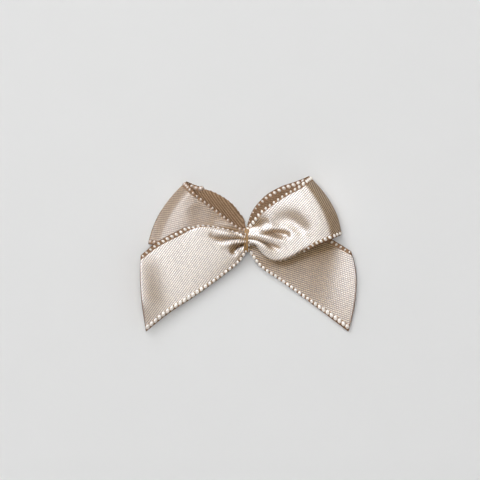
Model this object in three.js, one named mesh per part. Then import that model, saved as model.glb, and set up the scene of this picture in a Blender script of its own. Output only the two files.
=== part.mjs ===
// A pre-made satin gift bow: one strip of 10 mm satin ribbon laid as two loops and two tails,
// gathered at the middle and bound with a few turns of thread.
// The strip runs: left tail, front pleat, right loop, back pleat, left loop, middle pleat, right tail.
// So the left tail lies over the left loop, and the right tail comes out between the right loop's layers.
// Millimetres, +Z up. The bow lies on its back on the plane Z = 0, with its top towards +Y.
// Points are given from the middle of the knot, and the last lines move the origin.
import * as THREE from "three";

// Driving dimensions
const ribbonThickness = 0.3; // satin, with its raised selvedges
const ribbonAcross = 6; // facets over the ribbon's width
const layerCentre = { back: 0.42, middle: 1.42, front: 2.42 }; // Z of each gathered layer
const pleatHalfHeight = 1.6; // of the gathered ribbon, along Y, beside the thread
const pleatHalfThick = 0.4; // of one gathered layer, along Z
const pleatHalfLength = 0.85; // along X, of the front and the middle pleat
const pleatRidges = 4;
const waistHalfLength = 0.5; // along X, the stretch that the thread covers
const waistScale = 0.85; // how far the thread pulls the gathers in
const waistShoulder = 0.2; // along X, from the waist to the full gather
const backHalfLength = 2.0; // the back pleat flares into a flat throat, which takes the glue
const threadDiameter = 0.22;
const threadTurns = 3;
const threadClear = 0.05; // between the thread and the ribbon that it binds
const threadGroove = 0.52; // height at which the bundle passes over the thread at the back
const knotHeight = 0.13; // of the middle of the thread's knot, under the turns
const loopEnd = 1.15; // |X| where the front layers leave the pleats

const satin = new THREE.MeshStandardMaterial({ color: 0xc8aa90, roughness: 0.38, metalness: 0.1 });
const thread = new THREE.MeshStandardMaterial({ color: 0xb08a58, roughness: 0.55, metalness: 0 });

const point = ([x, y, z]) => new THREE.Vector3(x, y, z);
const rail = (points) => new THREE.CatmullRomCurve3(points.map(point), false, "catmullrom", 0.5);

// The geometry of a closed body, its faces turned outwards.
function solid(positions, faces) {
  const at = (k) => new THREE.Vector3().fromArray(positions, 3 * k);
  let volume = 0;
  for (let i = 0; i < faces.length; i += 3) {
    volume += at(faces[i]).dot(at(faces[i + 1]).cross(at(faces[i + 2])));
  }
  const geometry = new THREE.BufferGeometry();
  geometry.setAttribute("position", new THREE.Float32BufferAttribute(positions, 3));
  geometry.setIndex(volume > 0 ? faces : faces.slice().reverse());
  geometry.computeVertexNormals();
  return geometry;
}

// A closed body through rings of points, each ring going the same way round, with flat ends.
function loft(rings) {
  const around = rings[0].length;
  const positions = rings.flat().flatMap((p) => [p.x, p.y, p.z]);
  const faces = [];
  for (let i = 0; i + 1 < rings.length; i++) {
    for (let j = 0; j < around; j++) {
      const a = i * around + j;
      const b = i * around + ((j + 1) % around);
      faces.push(a, b, b + around, a, b + around, a + around);
    }
  }
  const last = (rings.length - 1) * around;
  for (let j = 1; j + 1 < around; j++) {
    faces.push(0, j + 1, j);
    faces.push(last, last + j, last + j + 1);
  }
  return solid(positions, faces);
}

// Ribbon: a thick strip over three rails, along its upper edge, its middle and its lower edge.
// from and to cut out a stretch of the rails, and steps is the number of facets along it.
function ribbon({ upper, middle, lower }, steps, from = 0, to = 1) {
  const rails = [upper, middle, lower].map(rail);
  const surface = (t, v) => {
    const [a, b, c] = rails.map((curve) => curve.getPoint(t));
    a.multiplyScalar((2 * v - 1) * (v - 1));
    return a.addScaledVector(b, 4 * v * (1 - v)).addScaledVector(c, v * (2 * v - 1));
  };
  const small = 1e-3;
  const inside = (x) => Math.min(Math.max(x, small), 1 - small);
  const normal = (t, v) => {
    const along = surface(inside(t) + small, v).sub(surface(inside(t) - small, v));
    const across = surface(t, inside(v) + small).sub(surface(t, inside(v) - small));
    return along.cross(across).normalize();
  };
  const rings = [];
  for (let i = 0; i <= steps; i++) {
    const t = from + ((to - from) * i) / steps;
    const ring = [];
    for (const side of [1, -1]) {
      for (let j = 0; j <= ribbonAcross; j++) {
        const v = side > 0 ? j / ribbonAcross : 1 - j / ribbonAcross;
        ring.push(surface(t, v).addScaledVector(normal(t, v), (side * ribbonThickness) / 2));
      }
    }
    rings.push(ring);
  }
  return loft(rings);
}

// A gathered layer under the thread: a ridged bar with a waist. Each station is [x, scale].
function pleat(z) {
  const shoulder = waistHalfLength + waistShoulder;
  const stations = [
    [-pleatHalfLength, 1],
    [-shoulder, 1],
    [-waistHalfLength, waistScale],
    [waistHalfLength, waistScale],
    [shoulder, 1],
    [pleatHalfLength, 1],
  ];
  const around = 28;
  const section = Array.from({ length: around }, (_, k) => {
    const angle = (2 * Math.PI * k) / around;
    const y = pleatHalfHeight * Math.cos(angle);
    const ripple = 0.85 + 0.15 * Math.cos((Math.PI * pleatRidges * y) / pleatHalfHeight);
    const side = Math.sign(Math.sin(angle));
    return [y, side * pleatHalfThick * Math.sqrt(Math.abs(Math.sin(angle))) * ripple];
  });
  const bundle = layerCentre.middle;
  const place = (x, scale) => ([y, dz]) => point([x, y * scale, bundle + (z + dz - bundle) * scale]);
  return loft(stations.map(([x, scale]) => section.map(place(x, scale))));
}

// The back pleat: flat underneath, where it rests and takes the glue, with a groove for the thread.
// Each station is [x, lowest y, highest y, bottom z, top z].
function backPleat() {
  const top = layerCentre.back + pleatHalfThick;
  const waist = 0.8 * pleatHalfHeight * waistScale;
  const shoulder = waistHalfLength + waistShoulder;
  const low = -pleatHalfHeight;
  const stations = [
    [-backHalfLength, low, 4.0, 0, ribbonThickness],
    [-1.2, low, 3.0, 0, 0.5],
    [-shoulder, low, 1.7, 0, top],
    [-waistHalfLength, -waist, waist, threadGroove, top],
    [waistHalfLength, -waist, waist, threadGroove, top],
    [shoulder, low, 1.7, 0, top],
    [1.2, low, 3.6, 0, 0.5],
    [backHalfLength, low, 5.0, 0, ribbonThickness],
  ];
  const corners = ([x, y0, y1, z0, z1]) => [[x, y0, z0], [x, y1, z0], [x, y1, z1], [x, y0, z1]];
  return loft(stations.map((station) => corners(station).map(point)));
}

// The thread's turns: a helix round the waist, whose two ends meet over the knot at the back.
class Winding extends THREE.Curve {
  getPoint(t) {
    const back = -Math.PI / 2;
    const ends = 0.03; // share of a full winding that each end stops short
    const angle = back + 2 * Math.PI * threadTurns * (ends + (1 - 2 * ends) * t);
    const clear = threadClear + threadDiameter / 2;
    const halfY = pleatHalfHeight * waistScale + clear;
    const low = threadGroove - clear;
    const bundle = layerCentre.middle;
    const high = bundle + (layerCentre.front + pleatHalfThick - bundle) * waistScale + clear;
    const bend = (s) => Math.sign(s) * Math.abs(s) ** 0.43; // squarer than an ellipse
    return new THREE.Vector3(
      (t - 0.5) * 1.1 * threadDiameter * threadTurns,
      halfY * bend(Math.cos(angle)),
      (low + high) / 2 + ((high - low) / 2) * bend(Math.sin(angle)),
    );
  }
}

function threadAlong(curve, steps) {
  const sides = 6;
  const radius = threadDiameter / 2;
  const corners = Array.from({ length: sides }, (_, k) => {
    const angle = (2 * Math.PI * k) / sides;
    return new THREE.Vector2(radius * Math.cos(angle), radius * Math.sin(angle));
  });
  const section = new THREE.Shape(corners);
  return new THREE.ExtrudeGeometry(section, { steps, extrudePath: curve, bevelEnabled: false });
}

const bow = new THREE.Group();
function add(name, geometry, material) {
  const mesh = new THREE.Mesh(geometry, material);
  mesh.name = name;
  bow.add(mesh);
  return mesh;
}

// Left tail: leaves the front pleat, lies over the left loop, and ends in a slanting cut.
const leftTail = {
  upper: [
    [-loopEnd, 1.15, 2.45], [-3.2, 1.45, 3.1], [-6.2, 1.95, 3.9],
    [-9.3, 1.5, 4.4], [-12.3, 0.05, 4.3], [-15.04, -2.2, 3.7],
  ],
  middle: [
    [-loopEnd, -0.1, 2.6], [-2.5, -1.0, 2.35], [-5.2, -1.9, 2.6],
    [-8.4, -3.2, 2.8], [-11.6, -4.9, 2.5], [-15.15, -7.3, 2.0],
  ],
  lower: [
    [-loopEnd, -1.4, 2.2], [-1.7, -3.5, 1.4], [-4.1, -5.6, 0.9],
    [-7.4, -8.0, 0.6], [-10.6, -9.95, 0.45], [-14.37, -13.0, 0.25],
  ],
};

// Right tail: leaves the middle pleat and runs out between the right loop's two layers.
const rightTail = {
  upper: [
    [loopEnd, 1.2, 1.45], [3.4, 2.3, 1.15], [6.4, 2.6, 1.1],
    [9.4, 1.7, 1.15], [12.3, 0.1, 1.15], [14.8, -1.6, 0.95],
  ],
  middle: [
    [loopEnd, -0.1, 1.5], [2.9, -0.8, 1.2], [5.4, -2.0, 1.0],
    [8.7, -3.7, 0.8], [12.1, -5.5, 0.75], [15.65, -6.4, 0.9],
  ],
  lower: [
    [loopEnd, -1.3, 1.4], [2.1, -3.5, 1.1], [4.5, -5.55, 0.9],
    [7.9, -8.1, 0.75], [11.1, -10.5, 0.55], [14.5, -13.0, 0.25],
  ],
};

// The loops run out along the front layer, round the fold, and in along the back layer.
const leftLoop = {
  upper: [
    [-loopEnd, 1.1, 1.45], [-3.1, 3.1, 2.2], [-5.4, 5.1, 2.9], [-7.3, 7.2, 3.05],
    [-8.55, 8.3, 1.7], [-7.2, 7.75, 0.45], [-5.2, 6.9, 0.22], [-3.0, 5.1, 0.2],
  ],
  middle: [
    [-loopEnd, 0.0, 1.5], [-3.7, 1.0, 1.9], [-7.0, 2.1, 2.3], [-10.4, 3.4, 2.9],
    [-12.3, 4.1, 1.6], [-10.4, 3.6, 0.45], [-6.5, 2.6, 0.22], [-2.5, 1.6, 0.2],
  ],
  lower: [
    [-loopEnd, -1.1, 1.3], [-4.0, -1.4, 1.3], [-7.6, -1.9, 1.5], [-11.6, -1.5, 2.2],
    [-13.96, -0.5, 1.3], [-12.0, -1.1, 0.45], [-8.0, -1.5, 0.22], [-2.3, -1.5, 0.2],
  ],
};
const rightLoop = {
  upper: [
    [loopEnd, 1.9, 2.4], [3.3, 5.1, 3.1], [5.7, 6.8, 3.7], [7.6, 8.0, 4.2],
    [8.75, 9.05, 2.2], [7.3, 8.55, 0.55], [5.2, 7.8, 0.22], [3.1, 6.1, 0.2],
  ],
  middle: [
    [loopEnd, 0.3, 2.6], [4.0, 1.7, 3.1], [7.4, 3.2, 3.4], [10.4, 4.7, 4.3],
    [12.25, 4.9, 2.2], [10.4, 4.6, 0.5], [6.5, 3.2, 0.22], [2.6, 2.0, 0.2],
  ],
  lower: [
    [loopEnd, -1.3, 2.2], [3.8, -2.75, 2.4], [7.4, -1.9, 3.1], [11.1, -0.4, 3.9],
    [13.25, 0.65, 2.1], [11.4, 0.95, 0.5], [7.5, -0.3, 0.22], [2.3, -1.5, 0.2],
  ],
};

// Each tail bends at a crease, where its lifting hinge is: the left one close to the knot,
// the right one where it comes out of the loop. Both are shares of the tail's rails.
const leftCrease = 0.2;
const rightCrease = 0.4;
const creaseGap = 0.035; // so that the tail can lift clear of the stretch before it
add("left_tail_root", ribbon(leftTail, 4, 0, leftCrease), satin);
add("left_tail", ribbon(leftTail, 16, leftCrease + creaseGap), satin);
add("right_tail_root", ribbon(rightTail, 8, 0, rightCrease), satin);
add("right_tail", ribbon(rightTail, 12, rightCrease + creaseGap), satin);
add("left_loop", ribbon(leftLoop, 36), satin);
add("right_loop", ribbon(rightLoop, 36), satin);
add("front_pleat", pleat(layerCentre.front), satin);
add("middle_pleat", pleat(layerCentre.middle), satin);
add("back_pleat", backPleat(), satin);

// The thread, its flattened knot in the groove at the back, and its two trimmed ends.
add("binding_thread", threadAlong(new Winding(), 24 * threadTurns), thread);
const knot = add("thread_knot", new THREE.SphereGeometry(1, 12, 8), thread);
knot.scale.set(0.3, 0.3, 0.09);
knot.position.set(0, 0, knotHeight);
for (const [name, side] of [["thread_end_left", -1], ["thread_end_right", 1]]) {
  const ends = [[0.15 * side, -0.4, knotHeight], [0.3 * side, -1.6, knotHeight]];
  add(name, threadAlong(new THREE.LineCurve3(...ends.map(point)), 1), thread);
}

// The origin is the middle of the footprint, on the plane that the bow lies on.
const footprint = new THREE.Box3().setFromObject(bow).getCenter(new THREE.Vector3());
bow.position.set(-footprint.x, -footprint.y, 0);

export default bow;
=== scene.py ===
import math

import bpy
import numpy as np
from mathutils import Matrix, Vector


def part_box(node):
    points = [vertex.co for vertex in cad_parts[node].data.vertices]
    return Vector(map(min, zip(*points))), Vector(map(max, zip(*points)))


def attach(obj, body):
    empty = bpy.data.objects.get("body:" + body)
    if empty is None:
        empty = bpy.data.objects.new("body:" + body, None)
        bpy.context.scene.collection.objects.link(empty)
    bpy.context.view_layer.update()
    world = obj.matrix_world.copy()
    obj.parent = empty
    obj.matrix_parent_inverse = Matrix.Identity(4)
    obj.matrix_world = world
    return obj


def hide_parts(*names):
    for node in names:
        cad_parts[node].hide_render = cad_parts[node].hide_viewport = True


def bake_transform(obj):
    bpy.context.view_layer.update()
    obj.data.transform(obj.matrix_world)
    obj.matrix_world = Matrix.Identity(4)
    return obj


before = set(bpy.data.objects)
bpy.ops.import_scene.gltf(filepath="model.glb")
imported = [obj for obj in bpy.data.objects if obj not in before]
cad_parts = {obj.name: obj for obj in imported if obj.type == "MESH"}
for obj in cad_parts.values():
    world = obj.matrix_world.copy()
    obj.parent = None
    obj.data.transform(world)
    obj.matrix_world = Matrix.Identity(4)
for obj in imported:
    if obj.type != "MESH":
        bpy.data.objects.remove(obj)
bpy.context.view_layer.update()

# A satin gift bow, built in millimetres from the middle of its knot and then put into the frame.
# The ribbon is one strip: left tail, right loop, left loop and right tail, in that order.
# Each of those spans reaches into the knot, where the thread hides its end.

# --- The real things' sizes, in millimetres ---
RIBBON_WIDTH = 10.0
RIBBON_THICK = 0.2
SELVEDGE = 0.72  # width of the stitched band along each edge
STITCH_PITCH = 0.7
STITCH_HALF = (0.36, 0.27, 0.28)  # half a stitch's length, width and height
THREAD_DIAMETER = 0.22
THREAD_TURNS = 4
MM = 0.001

RIM_COLOUR = (0.21, 0.11, 0.052, 1)  # the sealed line along the cut ends and the outer edges

knot_low, knot_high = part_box("binding_thread")
KNOT = np.array([(knot_low.x + knot_high.x) / 2, (knot_low.y + knot_high.y) / 2, 0.0])


def placed(points):
    """Points in millimetres from the knot, as points of the frame in metres."""
    return np.asarray(points, float) * MM + KNOT


# --- Camera, floor and light ---
def make_camera():
    """Straight above, a little to the left of the knot, as the photograph is taken."""
    distance, seen_width, sensor = 600.0, 68.6, 36.0
    data = bpy.data.cameras.new("camera")
    data.sensor_width = sensor
    data.lens = sensor * distance / seen_width
    data.clip_end = 10
    camera = bpy.data.objects.new("camera", data)
    camera.location = placed([-0.97, 0.0, distance])
    bpy.context.scene.collection.objects.link(camera)
    bpy.context.scene.camera = camera


def area_light(name, azimuth, elevation, distance, size, power, colour=(1, 1, 1), diffuse=True, gloss=True):
    """A square soft box that faces the knot. Azimuth is from +X towards +Y, in degrees. diffuse and gloss
    say whether it lights surfaces and whether they reflect it."""
    a, e = math.radians(azimuth), math.radians(elevation)
    towards = np.array([math.cos(a) * math.cos(e), math.sin(a) * math.cos(e), math.sin(e)])
    data = bpy.data.lights.new(name, "AREA")
    data.shape = "SQUARE"
    data.size = size * MM
    data.energy = power
    data.color = colour
    light = bpy.data.objects.new(name, data)
    light.location = placed(towards * distance)
    light.rotation_mode = "QUATERNION"
    light.rotation_quaternion = (light.location - Vector(KNOT.tolist())).to_track_quat("Z", "Y")
    light.visible_diffuse = diffuse
    light.visible_glossy = gloss
    bpy.context.scene.collection.objects.link(light)


def make_world(strength):
    world = bpy.data.worlds.new("studio")
    world.use_nodes = True
    background = world.node_tree.nodes["Background"]
    background.inputs["Color"].default_value = (1.0, 1.0, 1.0, 1)
    background.inputs["Strength"].default_value = strength
    bpy.context.scene.world = world
    bpy.context.scene.view_settings.view_transform = "Standard"


# --- Small helpers for materials ---
MIX_A, MIX_B, MIX_RESULT = 6, 7, 2  # a mix node's sockets when it mixes colours


class Nodes:
    """Adds shader nodes to one material and links them."""

    def __init__(self, name):
        self.material = bpy.data.materials.new(name)
        self.material.use_nodes = True
        self.tree = self.material.node_tree
        self.shader = self.tree.nodes["Principled BSDF"]

    def add(self, kind, inputs=None, **settings):
        node = self.tree.nodes.new(kind)
        for key, value in settings.items():
            setattr(node, key, value)
        for key, value in (inputs or {}).items():
            self.link(value, node.inputs[key])
        return node

    def link(self, value, socket):
        if isinstance(value, bpy.types.NodeSocket):
            self.tree.links.new(value, socket)
        else:
            socket.default_value = value

    def math(self, operation, *values):
        node = self.add("ShaderNodeMath", operation=operation)
        for i, value in enumerate(values):
            self.link(value, node.inputs[i])
        return node.outputs[0]

    def span(self, value, start, end):
        """0 at start and 1 at end, even where start is the larger."""
        node = self.add("ShaderNodeMapRange", {"Value": value, "From Min": start, "From Max": end})
        return node.outputs["Result"]

    def times(self, a, b):
        node = self.add("ShaderNodeMix", data_type="RGBA", blend_type="MULTIPLY")
        self.link(1.0, node.inputs["Factor"])
        self.link(a, node.inputs[MIX_A])
        self.link(b, node.inputs[MIX_B])
        return node.outputs[MIX_RESULT]

    def mix(self, factor, a, b):
        node = self.add("ShaderNodeMix", data_type="RGBA")
        self.link(factor, node.inputs["Factor"])
        self.link(a, node.inputs[MIX_A])
        self.link(b, node.inputs[MIX_B])
        return node.outputs[MIX_RESULT]


def weave_height(n):
    """An eight-end satin's ties make three sets of slanting lines. Each is a wave over the flat strip,
    with its share of the height, its angle to the strip and its spacing."""
    uv = n.add("ShaderNodeUVMap", uv_map="weave").outputs["UV"]
    split = n.add("ShaderNodeSeparateXYZ", {0: uv})
    pitch, turn = 0.28, math.radians(18.4)
    fibres = n.add("ShaderNodeTexNoise", {"Vector": uv, "Scale": 2.2, "Detail": 2.0}).outputs["Fac"]
    height = n.math("MULTIPLY_ADD", fibres, 0.4, 0.3)
    for share, angle, spacing in ((0.7, turn, pitch), (0.18, turn - math.radians(63.4), 1.12 * pitch),
                                  (0.12, turn + math.radians(53.2), pitch)):
        across = (-math.sin(angle) / spacing, math.cos(angle) / spacing)
        phase = n.math("ADD", n.math("MULTIPLY", split.outputs["X"], across[0]),
                       n.math("MULTIPLY", split.outputs["Y"], across[1]))
        wave = n.math("COSINE", n.math("MULTIPLY", phase, 2 * math.pi))
        height = n.math("MULTIPLY_ADD", wave, share / 2, height)
    return height


def uneven(n, low, high):
    """A slow drift between two tints along the ribbon."""
    uv = n.add("ShaderNodeUVMap", uv_map="weave").outputs["UV"]
    noise = n.add("ShaderNodeTexNoise", {"Vector": uv, "Scale": 0.35, "Detail": 3.0}).outputs["Fac"]
    return n.mix(noise, low, high)


def rim_line(n):
    """1 on the sealed line at the strip's cut end and along its outer edges."""
    strip = n.add("ShaderNodeSeparateXYZ", {0: n.add("ShaderNodeUVMap", uv_map="strip").outputs["UV"]})
    return n.math("MAXIMUM", n.span(strip.outputs["Y"], 0.14, 0.06), n.span(strip.outputs["X"], 0.3, 0.14))


def satin_material(name, painted_groove_shade, float_top, smoothest, gloss):
    """The ribbon's face: polyester satin whose floats lie along the ribbon, so its highlight runs across.
    The first colour is the grooves' between the floats, painted darker as shade in those hollows, and
    float_top is the floats'; smoothest is the roughness on top of the floats, and gloss is how strongly
    they reflect."""
    n = Nodes(name)
    height = weave_height(n)
    # The grooves between the floats are painted darker: painted shade in the weave's hollows, beside the
    # bump's relief.
    colour = n.mix(n.span(height, 0.15, 0.8), painted_groove_shade, float_top)
    colour = n.times(colour, uneven(n, (0.9, 0.88, 0.86, 1), (1.1, 1.1, 1.1, 1)))
    n.link(n.mix(rim_line(n), colour, RIM_COLOUR), n.shader.inputs["Base Color"])
    on_top = n.span(height, 0.2, 0.8)
    rough = n.add("ShaderNodeMapRange", {"Value": on_top, "To Min": 0.95, "To Max": smoothest})
    n.link(rough.outputs["Result"], n.shader.inputs["Roughness"])
    bump = n.add("ShaderNodeBump", {"Height": height, "Strength": 1.0, "Distance": 0.00005})
    n.link(bump.outputs["Normal"], n.shader.inputs["Normal"])
    tangent = n.add("ShaderNodeTangent", direction_type="UV_MAP", uv_map="strip")
    n.link(tangent.outputs["Tangent"], n.shader.inputs["Tangent"])
    n.shader.inputs["Anisotropic"].default_value = 0.8
    n.shader.inputs["Anisotropic Rotation"].default_value = 0.25
    n.shader.inputs["IOR"].default_value = 1.6
    n.shader.inputs["Specular IOR Level"].default_value = gloss
    return n.material


def reverse_material():
    """The ribbon's back: the same colour, duller, and painted darker as shade on the loops' inner faces,
    where it shows.
    """
    n = Nodes("satin_reverse")
    height = weave_height(n)
    # Both colours are darker than the face's as painted shade, and the grooves darker still as painted
    # shade in the weave's hollows.
    colour = n.mix(n.span(height, 0.1, 0.9), (0.2, 0.115, 0.06, 1), (0.44, 0.29, 0.175, 1))
    colour = n.times(colour, uneven(n, (0.8, 0.78, 0.76, 1), (1.1, 1.08, 1.06, 1)))
    n.link(n.mix(rim_line(n), colour, RIM_COLOUR), n.shader.inputs["Base Color"])
    bump = n.add("ShaderNodeBump", {"Height": height, "Strength": 1.0, "Distance": 0.00004})
    n.link(bump.outputs["Normal"], n.shader.inputs["Normal"])
    n.shader.inputs["Roughness"].default_value = 0.8
    n.shader.inputs["Specular IOR Level"].default_value = 0.03
    return n.material


def selvedge_material():
    """The plain tight weave that shows between the selvedge's stitches."""
    n = Nodes("selvedge_web")
    uv = n.add("ShaderNodeUVMap", uv_map="strip").outputs["UV"]
    noise = n.add("ShaderNodeTexNoise", {"Vector": uv, "Scale": 5.0, "Detail": 3.0}).outputs["Fac"]
    colour = n.mix(noise, (0.16, 0.085, 0.04, 1), (0.42, 0.26, 0.15, 1))
    n.link(n.mix(rim_line(n), colour, RIM_COLOUR), n.shader.inputs["Base Color"])
    bump = n.add("ShaderNodeBump", {"Height": noise, "Strength": 0.8, "Distance": 0.00004})
    n.link(bump.outputs["Normal"], n.shader.inputs["Normal"])
    n.shader.inputs["Roughness"].default_value = 0.8
    n.shader.inputs["Specular IOR Level"].default_value = 0.03
    return n.material


def stitch_material(name, low, high):
    """The selvedge's thicker yarn, in a fine mix of two colours."""
    n = Nodes(name)
    where = n.add("ShaderNodeTexCoord").outputs["Object"]
    noise = n.add("ShaderNodeTexNoise", {"Vector": where, "Scale": 2500.0, "Detail": 2.0}).outputs["Fac"]
    n.link(n.mix(noise, low, high), n.shader.inputs["Base Color"])
    n.shader.inputs["Roughness"].default_value = 0.5
    n.shader.inputs["Specular IOR Level"].default_value = 0.25
    bump = n.add("ShaderNodeBump", {"Height": noise, "Strength": 0.5, "Distance": 0.00003})
    n.link(bump.outputs["Normal"], n.shader.inputs["Normal"])
    return n.material


def thread_material():
    """The golden brown sewing thread."""
    n = Nodes("thread")
    where = n.add("ShaderNodeTexCoord").outputs["Object"]
    noise = n.add("ShaderNodeTexNoise", {"Vector": where, "Scale": 4000.0, "Detail": 3.0}).outputs["Fac"]
    colour = n.mix(noise, (0.24, 0.115, 0.03, 1), (0.5, 0.29, 0.09, 1))
    n.link(colour, n.shader.inputs["Base Color"])
    n.shader.inputs["Roughness"].default_value = 0.55
    n.shader.inputs["Specular IOR Level"].default_value = 0.12
    bump = n.add("ShaderNodeBump", {"Height": noise, "Strength": 0.6, "Distance": 0.00003})
    n.link(bump.outputs["Normal"], n.shader.inputs["Normal"])
    return n.material


def floor_material():
    """Plain pale paper."""
    n = Nodes("paper")
    where = n.add("ShaderNodeTexCoord").outputs["Object"]
    noise = n.add("ShaderNodeTexNoise", {"Vector": where, "Scale": 90.0, "Detail": 4.0}).outputs["Fac"]
    n.link(n.mix(noise, (0.78, 0.78, 0.775, 1), (0.8, 0.8, 0.797, 1)), n.shader.inputs["Base Color"])
    n.shader.inputs["Roughness"].default_value = 0.9
    n.shader.inputs["Specular IOR Level"].default_value = 0.1
    return n.material


# --- Curves and surfaces ---
def through(knots, points, s):
    """A smooth curve through points, which are given at knots, read at s."""
    gaps = np.diff(knots)[:, None]
    slopes = np.diff(points, axis=0) / gaps
    tangents = np.concatenate([slopes[:1], slopes[:-1], slopes[-1:]])
    tangents[1:-1] = (slopes[:-1] * gaps[1:] + slopes[1:] * gaps[:-1]) / (gaps[1:] + gaps[:-1])
    i = np.clip(np.searchsorted(knots, s, side="right") - 1, 0, len(gaps) - 1)
    x = ((s - knots[i]) / gaps[i, 0])[:, None]
    a, b, ta, tb = points[i], points[i + 1], tangents[i] * gaps[i], tangents[i + 1] * gaps[i]
    return (a * (2 * x**3 - 3 * x**2 + 1) + ta * (x**3 - 2 * x**2 + x)
            + b * (3 * x**2 - 2 * x**3) + tb * (x**3 - x**2))


def fold_over(last_front, first_back, outermost, depth, top, bottom, bulge):
    """Five points over the outside of a loop: its crest at height top, down its steep side to the
    outermost point, and tucked back under at height bottom. depth is how far inside the outermost point
    the crest is. bulge is 1 for a straight side and more for a rounder one."""
    side_drop, tuck = 0.88, 0.35  # shares of the fold's height and of its depth
    points = []
    for share, inner in ((0.0, last_front), (1 / 3, last_front), (2 / 3, last_front), (1.0, first_back)):
        outward = np.array(outermost) - np.array(inner[:2])
        x, y = np.array(outermost) - outward / np.linalg.norm(outward) * depth * (1 - share)
        points.append((x, y, top - (top - bottom) * side_drop * share ** bulge))
    x, y = np.array(outermost) - outward / np.linalg.norm(outward) * depth * tuck
    return points + [(x, y, bottom)]


def smooth(x):
    """0 below 0, 1 above 1, and a smooth step between."""
    x = np.clip(x, 0, 1)
    return x * x * (3 - 2 * x)


def fold_lift(path, x, y):
    """How far a fold lifts the ribbon at each x and y. Its path's points are (x, y, height, half width)."""
    path = np.array(path, float)
    knots = np.arange(len(path))
    path = through(knots, path, np.linspace(0, len(path) - 1, 6 * len(path)))
    lift, nearest = np.zeros_like(x), np.full_like(x, np.inf)
    for a, b in zip(path[:-1], path[1:]):
        step = b[:2] - a[:2]
        t = np.clip(((x - a[0]) * step[0] + (y - a[1]) * step[1]) / (step @ step), 0, 1)
        away = np.hypot(x - a[0] - t * step[0], y - a[1] - t * step[1])
        height, half_width = a[2] + t * (b[2] - a[2]), a[3] + t * (b[3] - a[3])
        closer = away < nearest
        nearest = np.where(closer, away, nearest)
        lift = np.where(closer, height * np.exp(-((away / half_width) ** 2)), lift)
    return lift


class Span:
    """A stretch of ribbon over three rails, its upper edge, middle and lower edge, from the knot out.
    heading is the way it leaves the knot, in degrees from +X. up is 1 for a span to the left of the
    knot and -1 for one to the right, so that its face is on top. Its folds are paths for fold_lift, and
    they end before the crest, which is a point's number in the rails. A roll curls an edge under: it is
    (the edge, 0 or 1, how far along it is at its fullest, its reach along, the width that curls
    there, the curl's radius)."""
    FOLD_FADE = 1.2  # how far before the crest the folds start to die out, in millimetres

    def __init__(self, upper, middle, lower, heading, up, folds=(), rolls=(), crest=None):
        self.rails = np.array([upper, middle, lower], float)
        chords = np.linalg.norm(np.diff(self.rails, axis=1), axis=2).mean(axis=0)
        self.stations = np.concatenate([[0.0], np.cumsum(chords)])
        self.length = self.stations[-1]
        self.heading = math.radians(heading)
        self.up = up
        self.folds = folds
        self.rolls = rolls
        self.facing_up = self.length + 1 if crest is None else self.stations[crest]

    def at(self, s, w):
        """Points at s millimetres along and w, from 0 to 1, across. s and w are flat arrays."""
        a, b, c = (through(self.stations, rail, s) for rail in self.rails)
        across = w[:, None]
        points = (a * (2 * across - 1) * (across - 1)
                  + b * 4 * across * (1 - across)
                  + c * across * (2 * across - 1))
        x, y = points[:, 0].copy(), points[:, 1].copy()
        for path in self.folds:
            points[:, 2] += fold_lift(path, x, y) * smooth((self.facing_up - s) / self.FOLD_FADE)
        for edge, fullest, reach, width, radius in self.rolls:
            outward = (c if edge else a) - b
            outward[:, 2] = 0
            half = np.linalg.norm(outward, axis=1)
            curled = width * smooth(2 - 2 * np.abs(s - fullest) / reach) - 2 * half * np.abs(w - edge)
            curled = np.clip(curled, 0, None)
            shift = radius * np.sin(curled / radius) - curled
            points += outward / half[:, None] * shift[:, None]
            points[:, 2] -= radius * (1 - np.cos(curled / radius))
        return points

    def grid(self, rows, columns):
        s, w = np.meshgrid(np.linspace(0, self.length, rows), np.linspace(0, 1, columns), indexing="ij")
        points = self.at(s.ravel(), w.ravel()).reshape(rows, columns, 3)
        return s, w, points

    def normals(self, points):
        along = np.gradient(points, axis=0)
        across = np.gradient(points, axis=1)
        normal = np.cross(along, across) * self.up
        return normal / np.linalg.norm(normal, axis=2, keepdims=True)


def weave_uv(span, points):
    """Where each point of a grid is on the flat strip, in millimetres: along it and across it.
    What the ribbon's rise and fall adds along it is the same right across."""
    out = np.array([math.cos(span.heading), math.sin(span.heading)])
    side = np.array([-out[1], out[0]])
    steps = np.diff(points, axis=0)
    level = np.abs(steps[..., :2] @ out)
    extra = (np.hypot(level, steps[..., 2]) - level).mean(axis=1, keepdims=True)
    u = np.concatenate([np.zeros((1, points.shape[1])), np.cumsum(level + extra, axis=0)])
    u += points[0, :, :2] @ out
    v = points[..., :2] @ side
    return np.stack([u, v], axis=-1) * span.up


def new_object(name, points, faces, *materials, uvs=None, uses=None):
    """A smooth mesh object from points in millimetres. uvs maps a layer's name to a UV per point,
    and uses says which of the materials each face takes."""
    mesh = bpy.data.meshes.new(name)
    mesh.from_pydata(placed(points).tolist(), [], [tuple(f) for f in faces])
    for layer, values in (uvs or {}).items():
        data = mesh.uv_layers.new(name=layer).data
        corners = np.zeros(len(mesh.loops), int)
        mesh.loops.foreach_get("vertex_index", corners)
        data.foreach_set("uv", np.asarray(values)[corners].astype(np.float32).ravel())
    mesh.polygons.foreach_set("use_smooth", [True] * len(mesh.polygons))
    for material in materials:
        mesh.materials.append(material)
    if uses is not None:
        mesh.polygons.foreach_set("material_index", uses)
    mesh.update()
    thing = bpy.data.objects.new(name, mesh)
    bpy.context.scene.collection.objects.link(thing)
    return thing


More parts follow.
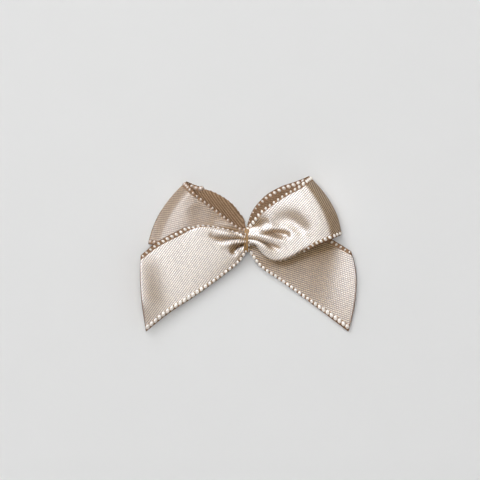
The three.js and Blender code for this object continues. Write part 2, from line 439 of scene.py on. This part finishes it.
def ribbon(name, span, face, reverse, selvedge, columns=81, row_length=0.14):
    """The satin of one span: a closed sheet, the same thickness all over."""
    rows = int(span.length / row_length)
    s, w, points = span.grid(rows, columns)
    normals = span.normals(points)
    uv = weave_uv(span, points)
    top = (points + normals * RIBBON_THICK / 2).reshape(-1, 3)
    under = (points - normals * RIBBON_THICK / 2).reshape(-1, 3)
    count = rows * columns
    index = np.arange(count).reshape(rows, columns)
    a, b, c, d = index[:-1, :-1], index[1:, :-1], index[1:, 1:], index[:-1, 1:]
    quads = np.stack([a, b, c, d], axis=-1).reshape(-1, 4)
    if span.up < 0:
        quads = quads[:, ::-1]
    faces = [quads, quads[:, ::-1] + count]
    ring = np.concatenate([index[:, 0], index[-1, 1:], index[-2::-1, -1], index[0, -2:0:-1]])
    after = np.roll(ring, -1)
    side = np.stack([after, ring, ring + count, after + count], axis=-1)
    faces.append(side if span.up > 0 else side[:, ::-1])
    strip = np.stack([span.length - s, RIBBON_WIDTH * np.minimum(w, 1 - w)], axis=-1)
    layers = {"weave": np.tile(uv.reshape(-1, 2), (2, 1)), "strip": np.tile(strip.reshape(-1, 2), (2, 1))}
    in_band = np.minimum(w, 1 - w)[:-1, :-1].ravel() * RIBBON_WIDTH < SELVEDGE
    uses = np.concatenate([np.where(in_band, 2, 0), np.where(in_band, 2, 1), np.full(len(side), 2)])
    return new_object(name, np.concatenate([top, under]), np.concatenate(faces), face, reverse, selvedge,
                      uvs=layers, uses=uses)


def ellipsoid(sides=8, levels=5):
    """A unit ball's points and faces."""
    points, faces = [(0, 0, 1)], []
    for i in range(1, levels):
        polar = math.pi * i / levels
        ring, height = math.sin(polar), math.cos(polar)
        for j in range(sides):
            turn = 2 * math.pi * j / sides
            points.append((ring * math.cos(turn), ring * math.sin(turn), height))
    points.append((0, 0, -1))
    last = len(points) - 1
    for j in range(sides):
        k = (j + 1) % sides
        faces.append((0, 1 + j, 1 + k))
        faces.append((last, last - sides + k, last - sides + j))
        for i in range(levels - 2):
            base = 1 + i * sides
            faces.append((base + j, base + sides + j, base + sides + k, base + k))
    return np.array(points), faces


def stitches(name, span, material):
    """The selvedge's stitches: a row of slanting knots along both edges, through the ribbon. Where the
    ribbon is gathered across its width they're smaller too."""
    ball, ball_faces = ellipsoid()
    half_length, half_width, half_height = STITCH_HALF
    points, faces = [], []
    small = 0.01  # the step that directions are found with, in millimetres along and a share across
    for edge, inward in ((0.0, 1.0), (1.0, -1.0)):
        fine = np.linspace(0, span.length, 600)
        run = span.at(fine, np.full_like(fine, edge))
        lengths = np.concatenate([[0], np.cumsum(np.linalg.norm(np.diff(run, axis=0), axis=1))])
        count = int(lengths[-1] / STITCH_PITCH)
        s = np.interp((np.arange(count) + 0.5) * lengths[-1] / count, lengths, fine)
        s = np.clip(s, small, span.length - small)
        w = np.full(count, edge + inward * 0.5 * SELVEDGE / RIBBON_WIDTH)
        centre = span.at(s, w)
        along = span.at(s + small, w) - span.at(s - small, w)
        across = (span.at(s, w + small) - span.at(s, w - small)) * inward
        squeeze = np.linalg.norm(across, axis=1) / (2 * small * RIBBON_WIDTH)
        along /= np.linalg.norm(along, axis=1, keepdims=True)
        across /= np.linalg.norm(across, axis=1, keepdims=True)
        up = np.cross(along, across)
        up /= np.linalg.norm(up, axis=1, keepdims=True)
        for k in range(count):
            fit = min(1.0, max(0.8, squeeze[k]))
            long_way = (0.8 * across[k] - 0.6 * along[k]) * fit
            short_way = np.cross(up[k], long_way)
            axes = np.stack([long_way * half_length, short_way * half_width, up[k] * half_height])
            base = len(points) * len(ball)
            points.append(ball @ axes + centre[k])
            faces += [tuple(i + base for i in f) for f in ball_faces]
    return new_object(name, np.concatenate(points), faces, material)


def tube(name, path, radius, material, sides=10, plies=0, twist=0.0):
    """A closed round tube along a path. plies, and twist in turns per millimetre, make it a twisted
    thread."""
    path = np.asarray(path, float)
    tangents = np.gradient(path, axis=0)
    tangents /= np.linalg.norm(tangents, axis=1, keepdims=True)
    run = np.concatenate([[0], np.cumsum(np.linalg.norm(np.diff(path, axis=0), axis=1))])
    first = np.cross(tangents[0], [0.3, 0.2, 1.0])
    sideways = [first / np.linalg.norm(first)]
    for t in tangents[1:]:
        v = sideways[-1] - t * (sideways[-1] @ t)
        sideways.append(v / np.linalg.norm(v))
    sideways = np.array(sideways)
    upward = np.cross(tangents, sideways)
    turn = np.linspace(0, 2 * math.pi, sides, endpoint=False)
    reach = np.full((len(path), sides), radius)
    if plies:
        lobes = np.cos(plies * (turn[None, :] - 2 * math.pi * twist * run[:, None]))
        reach = radius * (0.86 + 0.2 * lobes)
    rings = (path[:, None] + reach[..., None] * (np.cos(turn)[None, :, None] * sideways[:, None]
                                                + np.sin(turn)[None, :, None] * upward[:, None]))
    points = np.concatenate([rings.reshape(-1, 3), path[:1], path[-1:]])
    faces = []
    for i in range(len(path) - 1):
        for j in range(sides):
            k = (j + 1) % sides
            faces.append((i * sides + j, i * sides + k, (i + 1) * sides + k, (i + 1) * sides + j))
    start, end, last = len(points) - 2, len(points) - 1, (len(path) - 1) * sides
    for j in range(sides):
        k = (j + 1) % sides
        faces.append((start, k, j))
        faces.append((end, last + j, last + k))
    return new_object(name, points, faces, material)


# --- The spans of ribbon ---
LEFT_TAIL = Span(
    upper=[(0.1, 0.95, 2.25), (-0.7, 0.75, 2.5), (-1.7, 1.65, 2.8), (-3.9, 2.3, 3.2), (-7.1, 2.6, 3.5),
           (-10.0, 1.2, 3.5), (-12.7, -0.25, 3.4), (-15.05, -2.15, 3.5)],
    middle=[(0.1, -0.1, 2.45), (-0.6, -0.4, 2.6), (-1.6, -0.85, 2.65), (-3.4, -1.5, 2.65),
            (-6.0, -2.4, 2.65), (-9.0, -3.7, 2.6), (-12.0, -5.2, 2.6), (-15.05, -7.3, 2.9)],
    lower=[(0.1, -1.3, 2.1), (-0.3, -1.9, 1.8), (-1.0, -3.0, 1.5), (-2.7, -4.5, 1.3), (-5.2, -6.4, 1.25),
           (-8.2, -8.5, 1.3), (-11.2, -10.45, 1.4), (-14.37, -13.0, 1.6)],
    heading=215, up=1,
    folds=[
        [(-0.2, 0.5, 0.15, 0.3), (-1.3, 0.75, 0.3, 0.36), (-3.0, 0.95, 0.35, 0.42), (-4.8, 1.0, 0.0, 0.5)],
        [(-0.2, 0.15, -0.3, 0.15), (-1.6, 0.1, -0.6, 0.2), (-3.4, 0.15, -0.7, 0.35),
         (-4.9, 0.6, -0.2, 0.4)],
        [(-0.2, -0.2, 0.1, 0.25), (-1.2, -0.3, 0.25, 0.3), (-2.6, -0.6, 0.35, 0.4), (-4.2, -0.9, 0.0, 0.6)],
        [(-0.2, -0.65, -0.5, 0.2), (-0.9, -0.85, -1.1, 0.3), (-1.5, -1.15, -1.1, 0.45),
         (-1.8, -1.5, -0.7, 0.5)],
        [(-0.2, -0.5, -0.5, 0.12), (-0.8, -0.7, -0.6, 0.14), (-1.5, -1.0, 0.0, 0.14)],
        [(-0.2, -1.2, 0.1, 0.2), (-0.7, -1.9, 0.12, 0.3), (-1.4, -2.8, 0.0, 0.4)],
        [(-15.4, -5.0, 0.9, 2.5), (-15.0, -8.5, 1.2, 2.7)],
    ],
    rolls=[(0, 5.2, 5.5, 1.2, 0.5)],
)
RIGHT_TAIL = Span(
    upper=[(-0.1, 1.0, 1.45), (1.3, 1.3, 1.5), (3.6, 2.2, 1.5), (6.6, 2.5, 1.4),
           (9.6, 1.6, 1.1), (12.4, -0.05, 0.65), (14.85, -1.6, 0.85)],
    middle=[(-0.1, -0.1, 1.45), (0.95, -0.6, 1.45), (2.7, -1.3, 1.4), (5.3, -2.6, 1.25),
            (8.7, -4.2, 0.9), (12.1, -5.3, 0.5), (15.65, -6.6, 0.8)],
    lower=[(-0.1, -1.2, 1.4), (0.6, -1.95, 1.25), (1.9, -3.75, 0.95), (4.5, -5.57, 0.7),
           (7.8, -8.0, 0.5), (11.0, -10.4, 0.4), (14.5, -13.05, 0.55)],
    heading=-37, up=-1,
    folds=[[(0.2, -1.2, 0.2, 0.25), (1.2, -2.3, 0.3, 0.4), (3.2, -4.0, 0.0, 0.8)]],
)


def loop(upper, middle, lower, **settings):
    """A loop's span. Each rail is its front points, its fold and its back points, all from the knot and
    back to it. The fold is fold_over's outermost point, depth, top, bottom and bulge."""
    rails = [front + fold_over(front[-1], back[0], *fold) + back
             for front, fold, back in (upper, middle, lower)]
    return Span(*rails, crest=len(upper[0]), **settings)


LEFT_LOOP = loop(
    upper=([(0, 1.45, 1.45), (-0.9, 1.6, 1.75), (-3.0, 3.15, 2.3), (-5.3, 5.0, 2.75), (-6.8, 6.2, 2.85),
            (-7.4, 6.75, 2.9)],
           ((-8.54, 8.29), 1.4, 2.8, 0.3, 1.5),
           [(-6.6, 7.6, 0.7), (-5.6, 8.05, 0.95), (-1.5, 5.72, 0.95), (-0.58, 3.84, 0.8),
            (-0.25, 1.7, 0.6)]),
    middle=([(0, 0.3, 1.5), (-1.1, 0.6, 1.75), (-3.6, 1.5, 2.2), (-6.4, 2.6, 2.65), (-8.4, 3.2, 2.8),
             (-9.6, 3.5, 2.6)],
            ((-12.2, 4.05), 1.6, 2.25, 0.3, 1.2),
            [(-9.4, 3.4, 0.25), (-6.3, 2.5, 0.25), (-3.0, 1.5, 0.3), (-0.9, 0.6, 0.45), (0, 0.2, 0.6)]),
    lower=([(0, -0.9, 1.35), (-1.0, -0.6, 1.45), (-3.4, -1.0, 1.4), (-6.8, -1.5, 1.6), (-9.6, -1.2, 1.8),
            (-11.4, -0.95, 1.8)],
           ((-13.98, -0.6), 1.6, 1.6, 0.3, 1.2),
           [(-11.0, -1.0, 0.25), (-7.2, -1.4, 0.25), (-3.2, -1.4, 0.3), (-1.0, -1.2, 0.45),
            (0, -1.0, 0.6)]),
    heading=148, up=1,
    folds=[
        [(-5.2, 3.1, -0.1, 1.2), (-7.0, 4.0, -0.25, 1.3), (-7.9, 5.0, -0.1, 1.2)],
        [(-1.2, 1.4, 0.0, 0.3), (-2.6, 1.9, 0.3, 0.4), (-4.6, 2.4, 0.0, 0.6)],
    ],
    rolls=[(0, 21.5, 5.7, 1.25, 0.35)],
)
RIGHT_LOOP = loop(
    upper=([(-0.1, 1.35, 2.15), (0.55, 2.2, 2.5), (1.6, 3.75, 3.35), (3.5, 5.3, 3.85), (5.4, 6.65, 4.05),
            (7.2, 7.75, 4.25)],
           ((8.70, 9.01), 1.5, 4.3, 0.3, 3),
           [(7.0, 8.36, 0.25), (4.6, 7.5, 0.25), (2.2, 5.9, 0.3), (0.67, 3.89, 0.45), (0.0, 1.9, 0.6)]),
    middle=([(-0.1, 0.35, 2.45), (0.9, 0.7, 2.8), (2.5, 1.3, 3.35), (4.7, 2.15, 3.7), (7.2, 3.1, 3.95),
             (9.3, 3.9, 4.05)],
            ((12.0, 4.85), 2.1, 4.1, 0.3, 3),
            [(9.0, 3.9, 0.25), (5.8, 2.7, 0.25), (2.8, 1.5, 0.3), (0.9, 0.7, 0.45), (0, 0.1, 0.6)]),
    lower=([(-0.1, -0.7, 2.1), (0.3, -0.85, 2.4), (1.05, -2.2, 2.6), (3.5, -4.1, 2.75), (6.5, -3.4, 2.85),
            (9.75, -0.85, 3.0)],
           ((13.24, 0.66), 2.0, 3.0, 0.3, 3),
           [(10.4, -0.3, 0.25), (6.6, -1.2, 0.25), (3.0, -1.5, 0.3), (1.0, -1.2, 0.45), (0, -1.1, 0.6)]),
    heading=29, up=-1,
    folds=[
        [(0.2, 1.3, 0.1, 0.3), (1.5, 1.35, 0.1, 0.35), (3.2, 1.7, 0.06, 0.5), (4.8, 2.0, 0.0, 0.7)],
        [(1.6, 1.0, 0.0, 0.25), (2.6, 0.95, -0.5, 0.3), (3.8, 1.0, -1.1, 0.45), (5.0, 0.85, -1.1, 0.55),
         (5.6, 0.75, -0.8, 0.5)],
        [(0.2, 0.6, 0.1, 0.3), (1.5, 0.6, 0.25, 0.36), (3.0, 0.35, 0.35, 0.4), (4.6, -0.05, 0.2, 0.4),
         (6.0, -0.4, 0.0, 0.5)],
        [(0.2, 0.15, -0.2, 0.12), (1.2, 0.0, -0.5, 0.16), (2.5, -0.4, -0.8, 0.2), (3.7, -0.95, -0.8, 0.3),
         (4.9, -1.35, 0.0, 0.3)],
        [(0.2, -0.2, 0.1, 0.3), (1.3, -0.45, 0.25, 0.36), (2.4, -1.0, 0.35, 0.4), (3.4, -1.6, 0.2, 0.45),
         (4.6, -2.1, 0.0, 0.5)],
        [(3.4, 2.2, -0.25, 0.8), (4.5, 2.6, -0.65, 1.1), (6.1, 2.7, -0.85, 1.3), (7.6, 1.7, -0.65, 1.2),
         (8.1, 0.7, -0.2, 1.0)],
        [(0.4, 1.5, -0.5, 0.45), (1.3, 1.95, -0.6, 0.55), (2.4, 2.35, -0.25, 0.6), (3.4, 2.6, 0.0, 0.6)],
    ],
    rolls=[(1, 5.5, 5.9, 1.43, 0.35)],
)


# --- The thread ---
def winding_path():
    """The thread's turns round the knot: flattened rings that wander over each other."""
    half_across, half_upright, middle = 1.6, 1.2, 1.45
    turns = np.linspace(-0.5 * math.pi, (2 * THREAD_TURNS - 0.5) * math.pi, 60 * THREAD_TURNS)
    done = turns / (2 * math.pi)
    swell = 1 + 0.05 * np.sin(2.3 * turns / math.pi)
    across, upright = (np.sign(f) * np.abs(f) ** 0.55 for f in (np.cos(turns), np.sin(turns)))
    sideways = 0.24 * np.sin(2 * math.pi * 0.62 * done) + 0.09 * across - 0.08
    return np.stack([sideways, half_across * across * swell, middle + half_upright * upright * swell],
                    axis=1)


def box_from_knot(node):
    """A CAD node's box as its middle and half its size, in millimetres from the knot."""
    low, high = (np.array(corner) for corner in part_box(node))
    return ((low + high) / 2 - KNOT) / MM, (high - low) / 2 / MM


def knot_path():
    """The overhand knot in the thread at the back, flattened into the place of the CAD's."""
    middle, half = box_from_knot("thread_knot")
    turn = np.linspace(0, 2 * math.pi, 72)
    trefoil = np.stack([(np.sin(turn) + 2 * np.sin(2 * turn)) / 3,
                        (np.cos(turn) - 2 * np.cos(2 * turn)) / 3,
                        -np.sin(3 * turn)], axis=1)
    return middle + trefoil * np.clip(half - THREAD_DIAMETER / 2, 0.04, None)


def end_path(node):
    """A trimmed end of the thread, in a slight wave along the place of the CAD's."""
    middle, half = box_from_knot(node)
    along = np.linspace(-1, 1, 24)
    bend = 0.08 * np.sin(2.2 * along)
    return middle + np.stack([bend, along * (half[1] - THREAD_DIAMETER / 2), 0 * along], axis=1)


def main():
    make_camera()
    make_world(0.3)
    area_light("key", 122, 50, 700, 440, 1.7)
    area_light("overhead", 122, 85, 700, 280, 1.8, gloss=False)
    area_light("lustre", 122, 46, 700, 460, 84.0, colour=(0.96, 1.0, 1.05), diffuse=False)
    floor_size = 1500.0
    floor = new_object("floor", [(-floor_size, -floor_size, 0), (floor_size, -floor_size, 0),
                                 (floor_size, floor_size, 0), (-floor_size, floor_size, 0)],
                       [(0, 1, 2, 3)], floor_material())

    reverse, selvedge, thread = reverse_material(), selvedge_material(), thread_material()
    glossy = satin_material("satin", (0.085, 0.041, 0.015, 1), (0.52, 0.34, 0.17, 1), 0.5, 0.7)
    # A duller copy of the satin for the left loop, its float colour darker as painted shade on that loop.
    dull_shaded_satin = satin_material("dull_satin_painted_shade", (0.17, 0.095, 0.045, 1), (0.42, 0.275, 0.145, 1), 0.8, 0.45)
    white = stitch_material("selvedge_stitch", (0.8, 0.69, 0.6, 1), (1.0, 0.96, 0.9, 1))
    # A darker copy of the stitches for the left loop: painted shade on that loop's selvedge.
    shaded = stitch_material("stitch_painted_shade", (0.36, 0.25, 0.18, 1), (0.6, 0.46, 0.36, 1))
    # Each row is the body, its span, the satin's face, its stitches, the CAD's nodes that it stands for,
    # and where it bends at the joint, in millimetres from the knot.
    spans = [
        ("left_tail", LEFT_TAIL, glossy, white, ["left_tail", "left_tail_root", "front_pleat"], (1.5, 5.0)),
        ("right_tail", RIGHT_TAIL, glossy, white, ["right_tail", "right_tail_root", "middle_pleat"],
         (4.0, 9.0)),
        ("left_loop", LEFT_LOOP, dull_shaded_satin, shaded, ["left_loop", "back_pleat"], (0.3, 3.0)),
        ("right_loop", RIGHT_LOOP, glossy, white, ["right_loop"], (0.3, 3.0)),
    ]
    for body, span, face, stitch, stood_for, bend in spans:
        cloth = ribbon(body + "_satin", span, face, reverse, selvedge)
        edge = stitches(body + "_selvedge", span, stitch)
        for piece in (cloth, edge):
            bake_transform(piece)
        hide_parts(*stood_for)

    ends = ("thread_end_left", "thread_end_right")
    paths = {"binding_thread": winding_path(), "thread_knot": knot_path(), **{e: end_path(e) for e in ends}}
    for node, path in paths.items():
        piece = tube(node + "_strand", path, THREAD_DIAMETER / 2, thread, plies=2, twist=1.2)
        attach(piece, "root")
        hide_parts(node)


main()
